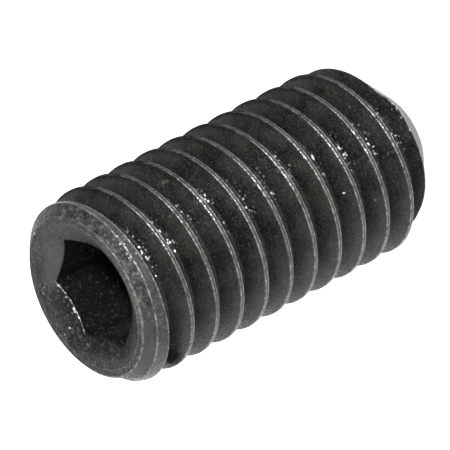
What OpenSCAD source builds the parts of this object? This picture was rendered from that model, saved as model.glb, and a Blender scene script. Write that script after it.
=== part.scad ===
// Grub set screw: a headless screw with a rolled thread over its whole length,
// a hexagon socket in the upper end and a cup point at the lower end.
// It stands on the rim of the cup, with its axis on Z and the socket on top.

/* [Thread] */
// Outside diameter over the crests
thread_d = 4.94; // [4.3:0.01:6]
// Height climbed in one turn, right-handed
pitch = 0.8; // [0.6:0.01:1]
// Direction of the crest that reaches the lower end, in degrees from +X
thread_turn = 256; // [0:1:359]
// Depth below the socket end where the groove starts to run out
groove_end = 0.2; // [0.1:0.01:0.4]
// Part of a turn in which the groove runs out, in degrees
runout_turn = 30; // [20:5:90]

/* [Body] */
// Length from the rim of the cup to the socket end
length = 10; // [8:0.5:20]
// Height of the bevel at the socket end
end_bevel = 0.23; // [0.1:0.01:0.4]
// Distance by which the bevel widens the socket end
bevel_width = 0.28; // [0.1:0.01:0.35]
// Distance by which the first crest stays below the full thread
first_crest = 0.11; // [0:0.01:0.2]
// Height in which the first crest grows to the full thread
fill_height = 0.45; // [0.2:0.05:1]

/* [Socket] */
// Size of the hexagon across its flats
socket_af = 2.55; // [2:0.05:3]
// Depth of the straight walls of the hexagon
socket_depth = 3; // [2.4:0.1:4]
// Turn of the hexagon's corners away from +X, in degrees
socket_turn = 3; // [0:1:59]
// Width of the flat ring between the countersink and the bevel
face_land = 0.17; // [0.1:0.01:0.25]

/* [Point] */
// Diameter over the rim of the cup
point_d = 2.5; // [2:0.05:3]
// Width of the flat rim of the cup
rim_land = 0.08; // [0.05:0.01:0.15]

/* [Hidden] */
thread_r = thread_d / 2;
// Depth and crest of a metric thread as parts of its pitch
depth_share = 0.6134;
crest_share = 1 / 8;
thread_depth = depth_share * pitch;
root_r = thread_r - thread_depth;
crest_flat = crest_share * pitch;
flank_tan = tan(30);
bevel_r = thread_r - first_crest;
face_r = bevel_r - bevel_width;
mouth_r = face_r - face_land;
countersink_tan = tan(60);
// Radius of the drilled hole as a part of the hexagon's inner radius
pilot_share = 0.94;
rim_r = point_d / 2;
cup_r = rim_r - rim_land;
steps = 48;
turn_step = 360 / steps;
facets = 2 * steps;
clear = 0.02;
// The groove is cut with its flanks carried on past the crests by this much.
flank_over = 1.5 * thread_r * (1 / cos(turn_step / 2) - 1);
outer_over = thread_depth;
// Turns that the groove starts below the lower end
lead_turns = 2;
runout_lift = 1.2 * thread_depth;
runout_h = pitch * runout_turn / 360;

// Height of the middle of the groove at an angle, counted from the lower end
function groove_z(angle) = pitch * (angle - thread_turn) / 360 + pitch / 2;

// Distance by which the groove has left the screw at an angle
function lift(angle) = runout_lift * min(1, max(0, (groove_z(angle) - length + groove_end) / runout_h));

// Half the width of the groove at a radius
function half_gap(r) = (pitch - crest_flat) / 2 - (thread_r - r) * flank_tan;

// The groove's section at one angle, from its lower outer corner round to its upper one
function section(angle) = let (over_r = thread_r + flank_over, outer_r = thread_r + outer_over)
    [for (p = [[outer_r, -half_gap(over_r)], [over_r, -half_gap(over_r)], [root_r, -half_gap(root_r)],
               [root_r, half_gap(root_r)], [over_r, half_gap(over_r)], [outer_r, half_gap(over_r)]])
        let (r = p[0] + lift(angle)) [r * cos(angle), r * sin(angle), groove_z(angle) + p[1]]];

// The groove as one helical bar from below the lower end to where it has run out
module thread_groove() {
    corners = 6;
    first = thread_turn - 360 * lead_turns;
    climb = length - groove_end + runout_h - groove_z(first);
    rings = ceil(climb / pitch * steps) + 1;
    points = [for (i = [0:rings]) each section(first + i * turn_step)];
    sides = [for (i = [0:rings - 1], j = [0:corners - 1])
        let (a = i * corners + j, b = i * corners + (j + 1) % corners)
        each [[a, b + corners, b], [a, a + corners, b + corners]]];
    start_cap = [for (j = [0:corners - 1]) j];
    end_cap = [for (j = [corners - 1:-1:0]) rings * corners + j];
    polyhedron(points = points, faces = concat(sides, [start_cap, end_cap]));
}

// The turned blank with a bevel and a low first crest at the socket end, a conical point and a cup in it
module blank() {
    rotate_extrude($fn = facets)
        polygon([[0, cup_r], [cup_r, 0], [rim_r, 0], [thread_r, thread_r - rim_r],
                 [thread_r, length - end_bevel - fill_height], [bevel_r, length - end_bevel],
                 [face_r, length], [0, length]]);
}

// The hexagon with its pilot cone below and its countersunk mouth
module socket() {
    pilot_r = pilot_share * socket_af / 2;
    pilot_h = pilot_r / countersink_tan;
    mouth_h = mouth_r / countersink_tan;
    translate([0, 0, length - socket_depth])
        rotate([0, 0, socket_turn])
            cylinder(h = socket_depth + clear, d = socket_af / cos(30), $fn = 6);
    translate([0, 0, length - socket_depth - pilot_h])
        cylinder(h = pilot_h + clear, r1 = 0, r2 = pilot_r + clear * countersink_tan, $fn = facets);
    translate([0, 0, length - mouth_h])
        cylinder(h = mouth_h + clear, r1 = 0, r2 = mouth_r + clear * countersink_tan, $fn = facets);
}

module set_screw() {
    color([0.13, 0.13, 0.12])
        difference() {
            blank();
            thread_groove();
            socket();
        }
}

set_screw();
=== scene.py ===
import bpy
import numpy as np
from mathutils import Matrix, Vector


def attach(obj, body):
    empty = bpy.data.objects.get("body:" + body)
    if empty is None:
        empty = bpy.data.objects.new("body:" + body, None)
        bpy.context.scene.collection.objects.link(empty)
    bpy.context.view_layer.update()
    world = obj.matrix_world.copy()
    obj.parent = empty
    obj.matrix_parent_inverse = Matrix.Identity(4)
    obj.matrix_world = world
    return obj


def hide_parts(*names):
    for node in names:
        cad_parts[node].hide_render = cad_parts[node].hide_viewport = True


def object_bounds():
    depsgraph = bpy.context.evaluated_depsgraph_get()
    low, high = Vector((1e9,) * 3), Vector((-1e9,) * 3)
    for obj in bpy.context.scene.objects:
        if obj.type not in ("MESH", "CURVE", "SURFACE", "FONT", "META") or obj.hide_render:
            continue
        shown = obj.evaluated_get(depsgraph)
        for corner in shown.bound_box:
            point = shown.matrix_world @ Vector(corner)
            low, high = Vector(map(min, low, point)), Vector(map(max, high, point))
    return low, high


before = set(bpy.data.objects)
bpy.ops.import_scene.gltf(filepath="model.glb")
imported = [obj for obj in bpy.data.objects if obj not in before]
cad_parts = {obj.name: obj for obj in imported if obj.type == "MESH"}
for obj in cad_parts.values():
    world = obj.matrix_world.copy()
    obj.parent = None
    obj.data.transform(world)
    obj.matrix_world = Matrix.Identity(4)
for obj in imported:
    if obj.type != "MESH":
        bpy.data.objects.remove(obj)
cad_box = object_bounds()

MM = 0.001
# Radius over the crests and length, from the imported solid
THREAD_R = round(cad_box[1][0] / MM, 2)
LENGTH = round(cad_box[1][2] / MM, 2)

# Thread: one crest reaches the lower end at THREAD_TURN
PITCH = 0.8
THREAD_TURN = 256
DEPTH = 0.6134 * PITCH
ROOT_R = THREAD_R - DEPTH
CREST_FLAT = PITCH / 8

# Socket end: a bevel, below it a low first crest that grows to the full thread, and the groove's run-out
END_BEVEL = 0.23
BEVEL_WIDTH = 0.28
FIRST_CREST = 0.11
FILL_HEIGHT = 0.45
GROOVE_END = 0.2
RUNOUT_TURN = 30
BEVEL_R = THREAD_R - FIRST_CREST
FACE_R = BEVEL_R - BEVEL_WIDTH
BEVEL_Z = LENGTH - END_BEVEL
FULL_Z = BEVEL_Z - FILL_HEIGHT
GROOVE_TOP = LENGTH - GROOVE_END
RUNOUT_H = PITCH * RUNOUT_TURN / 360
RUNOUT_LIFT = 1.2 * DEPTH

# Socket: a countersunk hexagon with a pilot cone under it
FACE_LAND = 0.17
SOCKET_AF = 2.55
SOCKET_DEPTH = 3.0
SOCKET_TURN = 3
MOUTH_R = FACE_R - FACE_LAND
HEX_R = SOCKET_AF / 2
PILOT_R = 0.94 * HEX_R
TAN30 = np.tan(np.radians(30))
TAN60 = np.tan(np.radians(60))

# Point: a cone of 45 degrees between the rim of the cup and the thread
POINT_D = 2.5
RIM_LAND = 0.08
RIM_R = POINT_D / 2
CUP_R = RIM_R - RIM_LAND
CONE_TOP = THREAD_R - RIM_R
# On the side that faces the viewer the last crest is pressed out past the cone, between these heights.
RISE_Z = 0.70
CREST_Z = 0.96

# Rounding of the crest's edges, of the root's corners, of the turned edges and of the hexagon's edge
CREST_ROUND = 0.03
ROOT_ROUND = 0.06
EDGE = 0.014
HEX_EDGE = 0.012
# The thread's mesh ends where the rounding of the ends begins.
LOW, HIGH = EDGE, LENGTH - EDGE
# Heights or radii closer than this are the same, and a surface this far below the full thread is cut back.
SAME = 1e-6
CUT_BACK = 1e-4

# Mesh columns round the screw, a multiple of 6 so that the hexagon's corners fall on columns
COLUMNS = 192
ANGLES = np.radians(SOCKET_TURN) + 2 * np.pi * np.arange(COLUMNS) / COLUMNS
AROUND = (np.degrees(ANGLES) + 180) % 360 - 180


def by_angle(*stops):
    """One value for each column, from directions round the screw and the values there."""
    directions, values = zip(*stops)
    return np.interp(AROUND, directions, values, period=360)


# Share of the rise to which each column of the last crest is pressed out
PRESSED = by_angle((-152, 0), (-130, 0.5), (-115, 0.75), (-74, 0.75), (-66, 0.45), (-58, 0))


def half_profile():
    """Distances from the crest's middle and radii, out to the middle of the root."""
    bend = np.radians([0, 20, 40, 60])
    middle = CREST_FLAT / 2 - CREST_ROUND * TAN30
    crest = [(middle + CREST_ROUND * np.sin(a), THREAD_R - CREST_ROUND * (1 - np.cos(a))) for a in bend]
    root_half = (PITCH - CREST_FLAT) / 2 - DEPTH * TAN30
    middle = root_half - ROOT_ROUND * TAN30
    root = [(PITCH / 2 - middle - ROOT_ROUND * np.sin(a), ROOT_R + ROOT_ROUND * (1 - np.cos(a)))
            for a in bend[::-1]]
    (t0, r0), (t1, r1) = crest[-1], root[0]
    flank = [(t0 + (t1 - t0) * f, r0 + (r1 - r0) * f) for f in (0.25, 0.5, 0.75)]
    return [(0.0, THREAD_R)] + crest + flank + root + [(PITCH / 2, ROOT_R)]


def pitch_profile():
    """One whole pitch of the thread, from one crest's middle up to just before the next."""
    half = half_profile()
    back = [(PITCH - t, r) for t, r in half[-2:0:-1]]
    whole = np.array(half + back)
    return whole[:, 0], whole[:, 1]


# Rows of a pitch: the crest's middle, 4 on its rounding, 3 on the flank, 4 on the root's rounding,
# the root's middle, and the same way back. TURNS counts the pitches, with some to spare at both ends.
ROW_Z, ROW_R = pitch_profile()
ROWS = len(ROW_Z)
TURNS = np.arange(-3, int(LENGTH / PITCH) + 4)


def by_row(values):
    """Values that repeat in each pitch, for every row of a column."""
    return np.tile(values, len(TURNS))


def envelope(z, pressed):
    """The blank's radius: the point's cone with the last crest's rise, the low first crest, the bevel."""
    slope = BEVEL_WIDTH / END_BEVEL
    bevel = FACE_R + (LENGTH - z) * slope
    low_crest = BEVEL_R + (BEVEL_Z - z) * FIRST_CREST / FILL_HEIGHT
    cone = RIM_R + z
    rise = RIM_R + RISE_Z + (z - RISE_Z) * (CONE_TOP - RISE_Z) / (CREST_Z - RISE_Z)
    cone = cone + pressed * np.clip(np.minimum(rise, THREAD_R) - cone, 0, None)
    return np.minimum(np.minimum(cone, bevel), np.minimum(low_crest, THREAD_R))


def settle(z, r, pressed):
    """Move rows of one column onto the creases of the envelope; returns the marks of these rows."""
    crease = np.zeros(len(z), bool)
    over = r - envelope(z, pressed)
    outside = over > SAME
    for j in np.nonzero(outside[:-1] != outside[1:])[0]:
        part = over[j] / (over[j] - over[j + 1])
        at = z[j] + (z[j + 1] - z[j]) * part
        k = j if part < 0.5 else j + 1
        if crease[k]:
            k = j + 1 if k == j else j
        z[k] = at
        r[k] = envelope(at, pressed)
        crease[k] = True
    for at in (BEVEL_Z, FULL_Z, CONE_TOP, CREST_Z, RISE_Z):
        edge_r = envelope(at, pressed)
        if np.interp(at, z, r) > edge_r:
            # A row that already lies on a crease stays there.
            k = np.argmin(np.abs(z - at) + LENGTH * crease)
            z[k] = at
            r[k] = edge_r
            # Of these edges only the bevel's is sharp enough for a crease.
            crease[k] = at == BEVEL_Z
    return crease


class Thread:
    """The thread's surface by column and row: heights, radii, creases, and how far it was cut back."""

    def __init__(self):
        phase = (ANGLES[:, None] / (2 * np.pi) - THREAD_TURN / 360) * PITCH
        self.z = phase + np.add.outer(TURNS * PITCH, ROW_Z).ravel()
        groove = phase + np.repeat(TURNS * PITCH, ROWS) + PITCH / 2
        lift = RUNOUT_LIFT * np.clip((groove - GROOVE_TOP) / RUNOUT_H, 0, 1)
        self.r = by_row(ROW_R) + lift
        self.crease = np.array([settle(z, r, pressed) for z, r, pressed in zip(self.z, self.r, PRESSED)])
        blank = envelope(self.z, PRESSED[:, None])
        self.over = self.r - blank
        self.r = np.minimum(self.r, blank)


# The finish of a vertex and its usual values, painted light and shade among them; far is the distance to the
# nearest edge
TRAITS = {"wear": 0.0, "far": 1.0, "dust": 0.0, "glint": 0.0, "cool": 0.0, "deep": 0.0, "smooth": 0.0}


class Skin:
    """Vertices, faces and the finish of each vertex."""

    def __init__(self):
        self.points, self.faces = [], []
        self.traits = {key: [] for key in TRAITS}

    def add(self, points, **finish):
        first = sum(len(p) for p in self.points)
        self.points.append(points)
        for key, usual in TRAITS.items():
            values = np.asarray(finish.get(key, usual), float)
            self.traits[key].append(np.broadcast_to(values, (len(points),)))
        return first

    def ring(self, radius, height, **finish):
        """One closed ring; radius and height are numbers or one value for each column."""
        radius = np.broadcast_to(np.asarray(radius, float), (COLUMNS,))
        height = np.broadcast_to(np.asarray(height, float), (COLUMNS,))
        points = np.c_[radius * np.cos(ANGLES), radius * np.sin(ANGLES), height]
        return self.add(points, **finish) + np.arange(COLUMNS)

    def band(self, low, high):
        """Faces between two rings; the outside is on the left of the way from low to high."""
        a, b = low, np.roll(low, -1)
        c, d = np.roll(high, -1), high
        self.faces += [np.c_[a, b, c], np.c_[a, c, d]]

    def next_ring(self, last, radius, height, **finish):
        """A ring and the band that joins it to the last one."""
        ring = self.ring(radius, height, **finish)
        self.band(last, ring)
        return ring

    def tip(self, ring, height, up, **finish):
        """A fan of faces that closes a ring with a point on the axis."""
        tips = np.full(COLUMNS, self.add(np.array([[0.0, 0.0, height]]), **finish))
        a, b = ring, np.roll(ring, -1)
        self.faces.append(np.c_[a, b, tips] if up else np.c_[b, a, tips])


def edge_distance(z, r, marked):
    """Distance of each row from the nearest marked row of its column, along the surface."""
    steps = np.hypot(np.diff(z, axis=1), np.diff(r, axis=1))
    along = np.hstack([np.zeros((len(z), 1)), np.cumsum(steps, axis=1)])
    far = np.empty_like(z)
    for i in range(len(z)):
        edges = along[i, marked[i]]
        k = np.clip(np.searchsorted(edges, along[i]), 1, len(edges) - 1)
        far[i] = np.minimum(np.abs(along[i] - edges[k - 1]), np.abs(along[i] - edges[k]))
    return far


# 1 in the columns on the side that is the lower one in the picture
LOW_SIDE = by_angle((-135, 1), (-112, 0), (160, 0), (175, 1))
# Heights between which the groove next to the socket end lies on that side
LAST_GROOVE = (8.69, 9.4)


def groove_painted_shade(thread, bevel, point, cut):
    """Painted shade on the thread, by column and row: most at the root of the grooves."""
    share = (THREAD_R - thread.r) / DEPTH
    deep = 0.78 * np.clip(share - 0.15, 0, 1) ** 1.5
    # The crests stay dark away from the light.
    crest = by_row([1] * 5 + [0] * (ROWS - 9) + [1] * 4)
    away = by_angle((-180, 0), (-78, 0), (-52, 0.55), (-25, 1), (50, 1), (90, 0.4))
    deep = np.maximum(deep, crest * away[:, None])
    # Painted shadow: on the lower side the grooves are black, most the one next to the socket end, also at
    # the outline.
    black = by_angle((-180, 1), (-165, 1), (-145, 0.8), (-115, 0), (165, 0))
    outline = by_angle((-170, 1), (-150, 0), (150, 0), (170, 1))
    low, high = LAST_GROOVE
    strength = np.where((thread.z > low) & (thread.z < high), 1, 0.6)
    spread = 1.2 * outline[:, None] * (2 * strength - 1)
    strength = strength * np.clip(2.5 * share - 0.5 + spread, 0, 1)
    deep = np.maximum(deep, strength * black[:, None])
    # The low first crest is only shaded on the lower side.
    return np.select([bevel | point, cut], [0, 0.3 * LOW_SIDE[:, None]], deep)


def thread_finish(thread):
    """The finish of the thread's vertices, by column and row."""
    z, r = thread.z, thread.r
    low_side = LOW_SIDE[:, None]
    cut = (thread.over > CUT_BACK) & (r < THREAD_R - CUT_BACK)
    bevel = cut & (z > BEVEL_Z - SAME)
    point = cut & (z < CONE_TOP)

    # The crests have an edge where they are rounded. The first crest and the bevel have the widest lines.
    corner = by_row([0, 0, 1, 1] + [0] * (ROWS - 7) + [1, 1, 0]) > 0
    far = edge_distance(z, r, thread.crease | (corner & ~cut))
    far = np.where(bevel, np.minimum(far, 1.5 * (HIGH - z)), far)
    far = np.select([point, cut], [0, 0.7 * far], far)

    # These edges are rubbed and carry a painted highlight, most on the side that faces the viewer.
    wear = by_angle((-180, 0.5), (-140, 0.6), (-100, 0.75), (-68, 0.75),
                    (-50, 0.4), (-30, 0.15), (0, 0.06), (40, 0.15))[:, None]
    first_wear_and_highlight = np.minimum(1, 1.5 * wear + 0.1) * (1 - 0.6 * low_side)
    point_wear_and_highlight = by_angle((-75, 0.05), (-45, 0.12), (0, 0.12), (60, 0.05))[:, None]

    # Painted glints: white specks in the grooves and along the crests, on a strip that faces the viewer.
    # Towards the point the strip lies 7 degrees further round.
    strip = -76 - 7 * np.clip((5 - z) / 3, 0, 1)
    side = np.clip(1.3 - np.abs(AROUND[:, None] - strip) / 16, 0, 1)
    specks = by_row([0.2, 0.4, 0.8, 0.7, 0.15, 0.04, 0.04, 0.04, 0.6, 1, 1, 1, 0.4] + [0.05] * (ROWS - 13))
    specks = np.select([point, far < 0.01, cut & (far < 0.06), cut], [0, 1, 0.3, 0.06], specks)

    # Painted reflection: the lower side is a lighter, smooth bluish grey.
    reflection_side = by_angle((-180, 0.65), (-160, 0.6), (-135, 0.36), (-105, 0), (150, 0))[:, None]
    return {
        "wear": np.select([point, cut], [point_wear_and_highlight, first_wear_and_highlight], wear),
        "far": far,
        # Pale scale lies on the bevel, except for its lower side, and on the point's cone.
        "dust": np.select([bevel, point, cut], [0.95 - 0.85 * low_side, 0.3, 0.25], 0.04),
        "glint": specks * side,
        # Painted reflection on the lower side; painted shade in the grooves
        "cool": np.select([bevel, cut], [0.5 * low_side, 0.25 * reflection_side], 0.5 * reflection_side),
        "deep": groove_painted_shade(thread, bevel, point, cut),
        "smooth": point,
    }


# Wear and painted highlight of the edge between the bevel and the face ring
RING_WEAR_AND_HIGHLIGHT = by_angle((0, 0.15), (140, 0.2), (170, 0.6), (250, 0.75), (290, 0.35))


def next_columns(values, beyond):
    """The values of the column beside each one; the last meets the first a whole pitch of rows higher."""
    return np.vstack([values[1:], np.append(values[0, ROWS:], np.full(ROWS, beyond))])


def thread_faces(ids, beside, crease, crease_beside):
    """Triangles between each column and the next, split along the diagonal that follows a crease."""
    p, q = ids[:, :-1], beside[:, :-1]
    s, t = beside[:, 1:], ids[:, 1:]
    other = (crease_beside[:, :-1] & crease[:, 1:]) & ~(crease[:, :-1] & crease_beside[:, 1:])
    for usual, turned in (((p, q, s), (p, q, t)), ((p, s, t), (q, s, t))):
        faces = np.where(other[..., None], np.stack(turned, -1), np.stack(usual, -1))
        yield faces.reshape(-1, 3)


def add_thread(skin):
    """The thread and the rings that close it; returns the lower ring, the upper one and its radii."""
    thread = Thread()
    z, r = thread.z, thread.r
    below, above = z <= LOW + SAME, z >= HIGH - SAME
    inside = ~below & ~above
    turn = np.broadcast_to(ANGLES[:, None], z.shape)[inside]
    points = np.c_[r[inside] * np.cos(turn), r[inside] * np.sin(turn), z[inside]]
    finish = thread_finish(thread)
    skin.add(points, **{key: np.broadcast_to(values, z.shape)[inside] for key, values in finish.items()})
    bottom = skin.ring(RIM_R + LOW, LOW, wear=0.8, far=0, dust=0.5)
    top_r = np.array([np.interp(HIGH, z[i], r[i]) for i in range(COLUMNS)])
    top = skin.ring(top_r, HIGH, wear=RING_WEAR_AND_HIGHLIGHT, far=0, dust=0.8)

    # Rows above and below the screw share the vertices of the rings.
    ids = np.empty(z.shape, int)
    ids[inside] = np.arange(inside.sum())
    ids = np.where(below, bottom[:, None], np.where(above, top[:, None], ids))
    crease = thread.crease
    skin.faces += thread_faces(ids, next_columns(ids, top[0]), crease, next_columns(crease, False))
    return bottom, top, top_r


def add_face_ring(skin, top, top_r):
    """The flat ring round the socket; returns its inner edge, which is the mouth of the socket."""
    outer_r = top_r - EDGE
    last = skin.next_ring(top, outer_r, LENGTH, wear=RING_WEAR_AND_HIGHLIGHT, far=0, dust=0.8)
    rubbed = by_angle((190, 0.06), (240, 0.016), (290, 0.016), (340, 0.06))
    for f, far in ((0.5, rubbed), (1.0, 0.006)):
        radius = outer_r + (MOUTH_R + EDGE - outer_r) * f
        last = skin.next_ring(last, radius, LENGTH, wear=0.6 * RING_WEAR_AND_HIGHLIGHT, far=far, dust=1)
    return last


def countersink_z(radius):
    """Height of the countersink at a radius."""
    return LENGTH - (MOUTH_R - radius) / TAN60


# The hexagon's radius in each column
HEXAGON = HEX_R / np.cos(np.radians(np.abs((AROUND - SOCKET_TURN) % 60 - 30)))


def add_countersink(skin, last):
    """The countersunk mouth down to the hexagon: pale scale, painted shade further in, a painted reflection
    on one side.
    """
    lower = by_angle((125, 0), (150, 1), (200, 1), (225, 0))
    outside = by_angle((0, 0.6), (20, 0.8), (45, 0.8), (75, 0.6),
                       (90, 0.7), (130, 0.65), (180, 0.6), (270, 0.8))
    inside = by_angle((0, 0.4), (20, 0.3), (45, 0.1), (75, 0.2),
                      (90, 0.28), (130, 0.3), (180, 0.3), (270, 0.4))
    reflection_side = by_angle((10, 0), (30, 0.9), (50, 1), (64, 0.9), (72, 0))
    shade = by_angle((66, 0), (76, 0.85), (115, 0.9), (135, 1), (190, 1), (215, 0))
    # Part of the hexagon's edge is rubbed bright and has painted glints.
    bright = by_angle((60, 0), (66, 1), (119, 1), (125, 0))

    mouth_r = MOUTH_R - EDGE
    last = skin.next_ring(last, mouth_r, countersink_z(mouth_r), wear=0.6 * RING_WEAR_AND_HIGHLIGHT, far=0.01,
                          dust=0.5 + 0.4 * lower)
    for f in (0.12, 0.3, 0.5, 0.7, 0.88):
        radius = mouth_r + (HEXAGON - mouth_r) * f
        last = skin.next_ring(last, radius, countersink_z(radius), glint=0.15 * bright,
                              dust=outside + (inside - outside) * min(1, 1.5 * f),
                              cool=reflection_side * np.clip(2.5 * f - 0.3, 0, 1) + 0.7 * lower * (f < 0.4),
                              deep=shade * np.interp(f, [0.1, 0.4, 0.9], [0, 0.55, 0.9]))
    # The hexagon's edge, rubbed, with painted glints and painted shade
    for drop, size, deep in ((0, HEX_EDGE, 0.85 * shade), (HEX_EDGE, 0, 0.85)):
        radius = HEXAGON + size
        last = skin.next_ring(last, radius, countersink_z(radius) - drop, wear=0.5 * bright, far=0,
                              glint=0.8 * bright, deep=deep, cool=0.5 * reflection_side)
    return last


def add_hexagon(skin, last):
    """The straight walls of the hexagon and the pilot cone, with painted shade that darkens them on the way
    down.
    """
    start, floor_z = countersink_z(HEXAGON) - HEX_EDGE, LENGTH - SOCKET_DEPTH
    shallow = by_angle((110, 0), (135, 0.8), (190, 0.8), (215, 0))
    for f in (0.01, 0.1, 0.25, 0.45, 0.7, 1.0):
        last = skin.next_ring(last, HEXAGON, start + (floor_z - start) * f, glint=0.05,
                              deep=np.clip(1 - shallow * (1 - f), 0, 1))
    last = skin.next_ring(last, PILOT_R, floor_z, wear=0.2, far=0, deep=1)
    for f in (0.66, 0.33):
        last = skin.next_ring(last, PILOT_R * f, floor_z - PILOT_R * (1 - f) / TAN60, deep=1)
    skin.tip(last, floor_z - PILOT_R / TAN60, up=True, deep=1)


def add_cup(skin, last):
    """The rim that the screw stands on, and the cup in it."""
    for radius, height, worn in ((RIM_R - EDGE / 2, 0.0, 0.6), (CUP_R + EDGE / 2, 0.0, 0.6),
                                 (CUP_R - EDGE, EDGE, 0.5), (CUP_R * 0.66, CUP_R * 0.34, 0.0),
                                 (CUP_R * 0.33, CUP_R * 0.67, 0.0)):
        ring = skin.ring(radius, height, wear=worn, far=0, dust=0.4)
        skin.band(ring, last)
        last = ring
    skin.tip(last, CUP_R, up=False)


def build_skin():
    skin = Skin()
    bottom, top, top_r = add_thread(skin)
    mouth = add_face_ring(skin, top, top_r)
    hexagon = add_countersink(skin, mouth)
    add_hexagon(skin, hexagon)
    add_cup(skin, bottom)
    return skin


def unit_vectors(vectors):
    """The vectors at a length of 1, and their lengths; a vector without a length stays as it is."""
    length = np.linalg.norm(vectors, axis=1)
    return vectors / np.where(length > 0, length, 1)[:, None], length


def corner_normals(points, faces, limit):
    """A normal for each corner: the faces round its vertex, by area, within an angle of its own face."""
    first, second, third = (points[faces[:, k]] for k in range(3))
    unit, area = unit_vectors(np.cross(second - first, third - first))
    # Corners in the order of their vertices; those of one vertex form a run that is gone round once.
    corners = faces.ravel()
    order = np.argsort(corners, kind="stable")
    vertex = corners[order]
    owner = np.repeat(np.arange(len(faces)), 3)[order]
    counts = np.bincount(vertex, minlength=len(points))
    starts = np.cumsum(counts) - counts
    rank = np.arange(len(corners)) - starts[vertex]
    total = np.zeros((len(corners), 3))
    for shift in range(int(counts.max())):
        mine = np.nonzero(counts[vertex] > shift)[0]
        near = owner[starts[vertex[mine]] + (rank[mine] + shift) % counts[vertex[mine]]]
        close = np.einsum("ij,ij->i", unit[near], unit[owner[mine]]) > np.cos(np.radians(limit))
        total[mine] += np.where(close[:, None], unit[near] * area[near][:, None], 0)
    result = np.empty_like(total)
    result[order] = unit_vectors(total)[0]
    return result


def make_object(name, skin):
    points = np.concatenate(skin.points)
    faces = np.concatenate(skin.faces)
    # Faces between rows that share a vertex are empty and left out.
    a, b, c = faces.T
    faces = faces[(a != b) & (b != c) & (a != c)]
    normals = corner_normals(points, faces, limit=34)
    mesh = bpy.data.meshes.new(name)
    mesh.from_pydata((points * MM).tolist(), [], faces.tolist())
    mesh.polygons.foreach_set("use_smooth", np.ones(len(faces), bool))
    for key in TRAITS:
        layer = mesh.attributes.new(key, "FLOAT", "POINT")
        layer.data.foreach_set("value", np.concatenate(skin.traits[key]).astype(np.float32))
    mesh.normals_split_custom_set(normals.tolist())
    mesh.update()
    obj = bpy.data.objects.new(name, mesh)
    bpy.context.scene.collection.objects.link(obj)
    return obj


# Single marks on the surface: direction, radius and height of the middle, and half the size on X, Y and Z
# Painted glints: single white spots
GLINT_SPOTS = [
    ((-76.0, 2.00, 3.59), (0.10, 0.03, 0.03)),
    ((-106.8, 2.22, 3.39), (0.025, 0.04, 0.08)),
    ((-99.3, 1.98, 9.17), (0.03, 0.025, 0.025)),
    ((-90.0, 1.98, 8.39), (0.045, 0.03, 0.03)),
    ((-78.7, 1.99, 2.79), (0.07, 0.03, 0.025)),
    ((-86.0, 1.99, 1.98), (0.05, 0.03, 0.02)),
    ((-89.1, 2.04, 1.93), (0.02, 0.04, 0.03)),
    ((-80.1, 1.98, 9.21), (0.06, 0.03, 0.02)),
    ((-84.5, 1.98, 9.19), (0.04, 0.03, 0.02)),
    ((-72.7, 1.98, 8.45), (0.06, 0.03, 0.02)),
    ((-82.8, 1.98, 8.45), (0.05, 0.03, 0.02)),
    ((-64.7, 2.02, 6.80), (0.05, 0.03, 0.025)),
    ((20.6, 2.08, 10.00), (0.05, 0.03, 0.02)),
    ((95.3, 1.31, 9.65), (0.045, 0.03, 0.04)),
    ((98.3, 1.32, 9.66), (0.035, 0.03, 0.02)),
    ((106.2, 1.32, 9.66), (0.035, 0.03, 0.03)),
    ((107.2, 1.64, 9.84), (0.024, 0.024, 0.024)),
]
SCUFFS = [
    ((-45.0, 2.21, 7.53), (0.10, 0.26, 0.12)),
    ((-78.5, 1.98, 4.46), (0.12, 0.05, 0.10)),
    ((-120.7, 2.24, 2.54), (0.05, 0.05, 0.12)),
    ((-57.9, 2.20, 1.91), (0.05, 0.05, 0.05)),
    ((-97.1, 2.29, 1.77), (0.05, 0.05, 0.05)),
    ((-48.7, 1.43, 9.72), (0.09, 0.09, 0.05)),
    ((-100.0, 2.30, 8.70), (0.32, 0.14, 0.12)),
    ((162.3, 1.51, 9.77), (0.06, 0.12, 0.05)),
    ((174.2, 1.61, 9.83), (0.05, 0.05, 0.05)),
]
RUST = [
    ((113.8, 1.53, 9.78), (0.09, 0.07, 0.07)),
    ((121.2, 1.60, 9.82), (0.11, 0.09, 0.07)),
    ((109.7, 1.61, 9.82), (0.05, 0.05, 0.05)),
    ((130.4, 1.60, 9.82), (0.10, 0.10, 0.06)),
    ((107.0, 1.48, 9.75), (0.05, 0.05, 0.05)),
]


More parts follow.
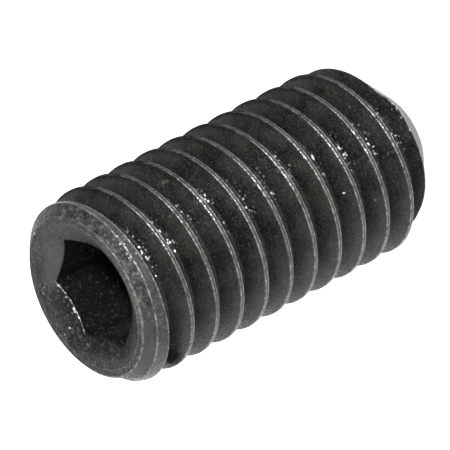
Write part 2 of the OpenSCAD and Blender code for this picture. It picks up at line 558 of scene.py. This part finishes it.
class Shader:
    """A new material, with short ways to make its nodes and join them."""

    def __init__(self, name):
        self.material = bpy.data.materials.new(name)
        self.material.use_nodes = True
        self.nodes, self.links = self.material.node_tree.nodes, self.material.node_tree.links
        self.nodes.clear()
        out = self.nodes.new("ShaderNodeOutputMaterial")
        self.surface = self.nodes.new("ShaderNodeBsdfPrincipled")
        self.put(out.inputs["Surface"], self.surface.outputs["BSDF"])
        self.place = self.nodes.new("ShaderNodeTexCoord").outputs["Object"]

    def put(self, socket, value):
        """Join a socket to an output, or set it to a colour, vector or number."""
        if isinstance(value, bpy.types.NodeSocket):
            self.links.new(value, socket)
        elif isinstance(value, tuple) and socket.type == "RGBA":
            socket.default_value = (*value, 1)
        else:
            socket.default_value = value

    def finish(self, values):
        """Set the surface's sockets by name; returns the material."""
        for key, value in values.items():
            self.put(self.surface.inputs[key], value)
        return self.material

    def noise(self, scale, detail=3.0, rough=0.6):
        node = self.nodes.new("ShaderNodeTexNoise")
        self.put(node.inputs["Vector"], self.place)
        for key, value in (("Scale", scale), ("Detail", detail), ("Roughness", rough)):
            self.put(node.inputs[key], value)
        return node.outputs["Fac"]

    def ramp(self, source, *stops):
        """Greys or colours between the stops, which are pairs of a position and a grey or colour."""
        node = self.nodes.new("ShaderNodeValToRGB")
        elements = node.color_ramp.elements
        while len(elements) < len(stops):
            elements.new(0.5)
        for element, (position, value) in zip(elements, stops):
            element.position = position
            element.color = (*value, 1) if isinstance(value, tuple) else (value, value, value, 1)
        self.put(node.inputs["Fac"], source)
        return node.outputs["Color"]

    def mix(self, a, b, factor):
        node = self.nodes.new("ShaderNodeMix")
        node.data_type = "RGBA"
        for key, value in (("Factor", factor), ("A", a), ("B", b)):
            self.put(node.inputs[key], value)
        return node.outputs["Result"]

    def math(self, kind, a, b):
        node = self.nodes.new("ShaderNodeMath")
        node.operation = kind
        node.use_clamp = True
        self.put(node.inputs[0], a)
        self.put(node.inputs[1], b)
        return node.outputs["Value"]

    def vector(self, kind, a, b=(0, 0, 0)):
        node = self.nodes.new("ShaderNodeVectorMath")
        node.operation = kind
        self.put(node.inputs[0], a)
        self.put(node.inputs[1], b)
        return node.outputs["Value" if kind == "LENGTH" else "Vector"]

    def attribute(self, name):
        node = self.nodes.new("ShaderNodeAttribute")
        node.attribute_name = name
        return node.outputs["Fac"]

    def specks(self, scale, size, chance):
        """Round dots in a share of the cells of a fine pattern."""
        node = self.nodes.new("ShaderNodeTexVoronoi")
        self.put(node.inputs["Scale"], scale)
        self.put(node.inputs["Vector"], self.place)
        dots = self.ramp(node.outputs["Distance"], (0.6 * size, 1.0), (size, 0.0))
        chosen = self.ramp(node.outputs["Color"], (chance, 1.0), (chance + 0.04, 0.0))
        return self.math("MULTIPLY", dots, chosen)

    def marks(self, table):
        """A mask that is 1 inside the ellipsoids of a table."""
        total = 0.0
        for (direction, radius, height), half in table:
            turn = np.radians(direction)
            middle = (radius * np.cos(turn), radius * np.sin(turn), height)
            shift = self.vector("SUBTRACT", self.place, tuple(v * MM for v in middle))
            stretch = self.vector("DIVIDE", shift, tuple(v * MM for v in half))
            one = self.ramp(self.vector("LENGTH", stretch), (0.6, 1.0), (1.0, 0.0))
            total = self.math("ADD", one, total)
        return total


# Colours are linear. A noisy colour goes from its first value to its last.
OIL = (0.003, 0.003, 0.0027), (0.023, 0.023, 0.019)
BROWN = (0.014, 0.009, 0.006), (0.045, 0.028, 0.020)
GRIT = (0.03, 0.03, 0.027), (0.12, 0.12, 0.105)
# Painted reflection on the lower side
REFLECTION_GREYS = (0.062, 0.064, 0.069), (0.088, 0.091, 0.098)
# Painted shade in the grooves and recesses
PAINTED_SHADE_GREYS = (0.006, 0.006, 0.007), (0.022, 0.022, 0.027)
SCALE = (0.012, 0.012, 0.010), (0.055, 0.055, 0.049), (0.17, 0.17, 0.15)
SCUFF = (0.035, 0.029, 0.023), (0.20, 0.175, 0.15)
RUST_RED = (0.03, 0.018, 0.014), (0.17, 0.115, 0.10)
STEEL = (0.20, 0.197, 0.19), (0.55, 0.545, 0.54)
# Painted glints
GLINT_WHITE = (0.9, 0.92, 1.0)


def black_oxide():
    """Oiled black oxide: dark grain, brown blotches, pale scale on the end, rubbed edges; painted shade,
    painted reflection, painted highlights and glints.
    """
    shader = Shader("black_oxide_steel")
    noise, ramp, mix, math, attribute = shader.noise, shader.ramp, shader.mix, shader.math, shader.attribute
    # The scale of a noise is its number of waves in a metre.
    grain = noise(24000, 2)
    coarse = noise(12000)
    blotch = noise(1600, 4)

    def noisy(colours, source, low, high):
        return ramp(source, (low, colours[0]), (high, colours[1]))

    # The oxide itself, dark under oil, with brown blotches and fine grit
    oxide = noisy(OIL, blotch, 0.40, 0.60)
    oxide = mix(oxide, noisy(BROWN, coarse, 0.0, 1.0), ramp(noise(2200, 4), (0.54, 0.0), (0.68, 0.5)))
    oxide = mix(oxide, noisy(GRIT, coarse, 0.3, 0.7), ramp(grain, (0.56, 0.0), (0.70, 0.6)))

    # Painted reflection, painted shade in the grooves and recesses, and pale scale where the finish of the
    # mesh puts them
    colour = mix(oxide, noisy(REFLECTION_GREYS, blotch, 0.3, 0.7), math("MULTIPLY", attribute("cool"), 0.85))
    colour = mix(colour, noisy(PAINTED_SHADE_GREYS, grain, 0.40, 0.66), math("MULTIPLY", attribute("deep"), 0.9))
    scale = ramp(coarse, *zip((0.34, 0.50, 0.68), SCALE))
    dust = math("MULTIPLY", attribute("dust"), ramp(noise(3600), (0.42, 0.25), (0.56, 1.0)))
    colour = mix(colour, scale, dust)

    # Single scuffs and specks of rust
    broken = ramp(noise(7000), (0.44, 0.0), (0.58, 0.9))
    colour = mix(colour, noisy(SCUFF, coarse, 0.35, 0.6), math("MULTIPLY", shader.marks(SCUFFS), broken))
    colour = mix(colour, noisy(RUST_RED, coarse, 0.35, 0.6), math("MULTIPLY", shader.marks(RUST), broken))

    # Bare steel on the rubbed edges, unevenly along them, partly a painted highlight strongest on the side
    # that faces the viewer
    edge = ramp(attribute("far"), (0.006, 1.0), (0.021, 0.0))
    rub_and_highlight = math("MULTIPLY", attribute("wear"), ramp(noise(6500), (0.40, 0.18), (0.61, 1.0)))
    rub_and_highlight = math("MULTIPLY", rub_and_highlight, edge)
    colour = mix(colour, noisy(STEEL, coarse, 0.3, 0.7), rub_and_highlight)

    # Painted glints: white specks in clusters, more of them on the edges, and single spots
    dots = math("ADD", shader.specks(9500, 0.36, 0.68), shader.specks(5500, 0.24, 0.34))
    dots = math("MULTIPLY", dots, ramp(noise(2600, 1), (0.46, 0.12), (0.54, 1.0)))
    dots = math("ADD", dots, math("MULTIPLY", edge, ramp(noise(11000), (0.50, 0.0), (0.60, 0.8))))
    dots = math("MULTIPLY", dots, attribute("glint"))
    dots = math("ADD", dots, shader.marks(GLINT_SPOTS))
    colour = mix(colour, GLINT_WHITE, dots)

    # The oil is patchy and scale is dull; where shade is painted, the surface reflects less.
    wet_rough = ramp(noise(13000, 2), (0.48, 0.42), (0.60, 0.14))
    rough = mix(wet_rough, ramp(coarse, (0.3, 0.5), (0.7, 0.65)), dust)
    rough = mix(rough, (0.35, 0.35, 0.35), attribute("smooth"))
    reflect = math("SUBTRACT", 0.5, math("MULTIPLY", attribute("deep"), 0.5))
    bump = shader.nodes.new("ShaderNodeBump")
    shader.put(bump.inputs["Strength"], 0.6)
    shader.put(bump.inputs["Distance"], 0.03 * MM)
    relief = math("ADD", math("MULTIPLY", grain, 0.4), math("MULTIPLY", coarse, 0.6))
    shader.put(bump.inputs["Height"], relief)
    return shader.finish({
        "Base Color": colour,
        "Metallic": math("MULTIPLY", rub_and_highlight, 0.9),
        "Roughness": rough,
        "Specular IOR Level": reflect,
        "Normal": bump.outputs["Normal"],
    })


screw = make_object("screw", build_skin())
screw.data.materials.append(black_oxide())
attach(screw, "root")
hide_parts("set_screw")

# The picture's middle on the screw's axis, and the way up from the table that it lies on in the photo
MIDDLE = Vector((0, 0, 5.5025))
TABLE_UP = Vector((0.745, -0.667, 0))
# Direction in which the sky is brightest
BRIGHT_SKY = (-0.6, 0.1, -0.35)
# The photo's view: so far off the screw's axis, turned until the socket end points to the lower left
CAMERA_TILT = 57.16
CAMERA_ROLL = -117.42
CAMERA_DISTANCE = 148.2
LENS = 485


def plain_material(name, grey, rough, glow):
    colour = (grey, grey, grey)
    return Shader(name).finish({
        "Base Color": colour,
        "Roughness": rough,
        "Emission Color": colour,
        "Emission Strength": glow,
    })


def floor():
    half = 600 * MM
    corners = [(-half, -half, 0), (half, -half, 0), (half, half, 0), (-half, half, 0)]
    mesh = bpy.data.meshes.new("floor")
    mesh.from_pydata(corners, [], [(0, 1, 2, 3)])
    mesh.materials.append(plain_material("pale_floor", 0.86, rough=0.7, glow=1.0))
    obj = bpy.data.objects.new("floor", mesh)
    bpy.context.scene.collection.objects.link(obj)
    return obj


def area_light(name, offset, width, power, height=None):
    """A lamp that looks at the picture's middle from an offset: a disc, or a strip if it has a height."""
    lamp = bpy.data.lights.new(name, "AREA")
    lamp.shape = "RECTANGLE" if height else "DISK"
    lamp.size = width * MM
    if height:
        lamp.size_y = height * MM
    lamp.energy = power
    obj = bpy.data.objects.new(name, lamp)
    obj.location = (MIDDLE + offset) * MM
    obj.rotation_euler = (-offset).to_track_quat("-Z", "Y").to_euler()
    bpy.context.scene.collection.objects.link(obj)
    return obj


def studio_world():
    """A soft sky, darkest towards the upper left of the picture."""
    world = bpy.data.worlds.new("studio")
    world.use_nodes = True
    nodes, links = world.node_tree.nodes, world.node_tree.links
    direction = nodes.new("ShaderNodeTexCoord")
    along = nodes.new("ShaderNodeVectorMath")
    along.operation = "DOT_PRODUCT"
    along.inputs[1].default_value = BRIGHT_SKY
    shade = nodes.new("ShaderNodeMapRange")
    for key, value in (("From Min", -0.6), ("From Max", 0.2), ("To Min", 0.15), ("To Max", 0.95)):
        shade.inputs[key].default_value = value
    nodes["Background"].inputs["Color"].default_value = (1, 1, 1, 1)
    links.new(direction.outputs["Generated"], along.inputs[0])
    links.new(along.outputs["Value"], shade.inputs["Value"])
    links.new(shade.outputs["Result"], nodes["Background"].inputs["Strength"])
    return world


def photo_camera():
    data = bpy.data.cameras.new("camera")
    data.sensor_width = 36
    data.lens = LENS
    data.clip_start = 1 * MM
    turn = Matrix.Rotation(np.radians(CAMERA_TILT), 3, "X")
    towards = turn @ Vector((0, 0, CAMERA_DISTANCE))
    turn = turn @ Matrix.Rotation(np.radians(CAMERA_ROLL), 3, "Z")
    camera = bpy.data.objects.new("camera", data)
    camera.matrix_world = Matrix.Translation((MIDDLE + towards) * MM) @ turn.to_4x4()
    bpy.context.scene.collection.objects.link(camera)
    return camera


stage = [
    floor(),
    area_light("bounce", TABLE_UP * -30, 50, 0.0012),
    area_light("key", TABLE_UP * 180 + Vector((0, 0, 200)), 200, 0.12),
    area_light("spark", Vector((100, -187.5, 125)), 220, 0.50, height=12),
]
bpy.context.scene.world = studio_world()
bpy.context.scene.camera = photo_camera()
bpy.context.scene.view_settings.view_transform = "Standard"
